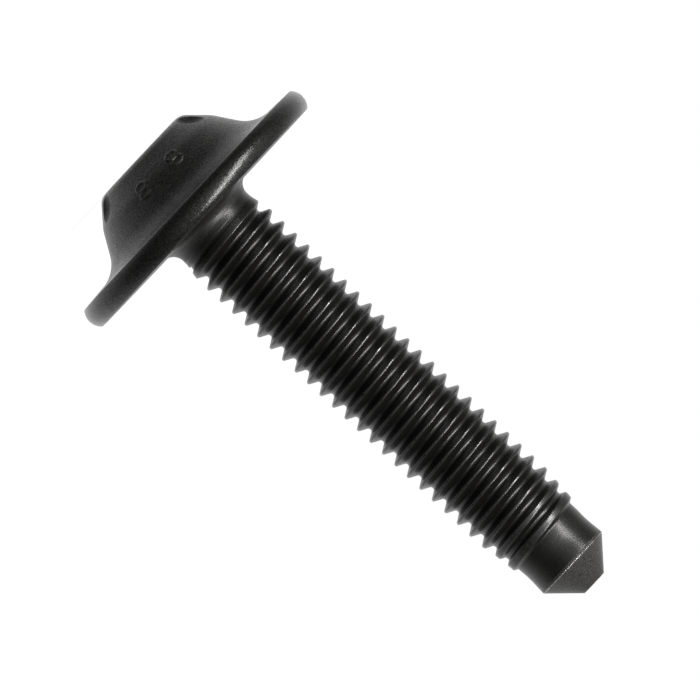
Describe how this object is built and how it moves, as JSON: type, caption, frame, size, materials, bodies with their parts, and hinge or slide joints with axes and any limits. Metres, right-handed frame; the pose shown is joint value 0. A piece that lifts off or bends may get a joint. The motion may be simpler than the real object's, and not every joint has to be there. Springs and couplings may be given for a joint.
{
  "type": "flange bolt",
  "caption": "Domed flange bolt with a six-lobed drive socket, a coarse metric right-hand thread and a coned dog point, for clamping thin parts and finding a blind thread.",
  "frame": {"origin": "centre of the flat top of the head, which is the lowest point of the bolt as it stands", "axes": "+Z along the bolt's axis from the head to the point, -Y towards the side of the head that holds the two marks and lies between the two scallops"},
  "size_m": [0.0182, 0.0182, 0.0364],
  "materials": {
    "black_steel": "satin"
  },
  "bodies": {
    "root": {"bolt": "black_steel"}
  },
  "joints": []
}
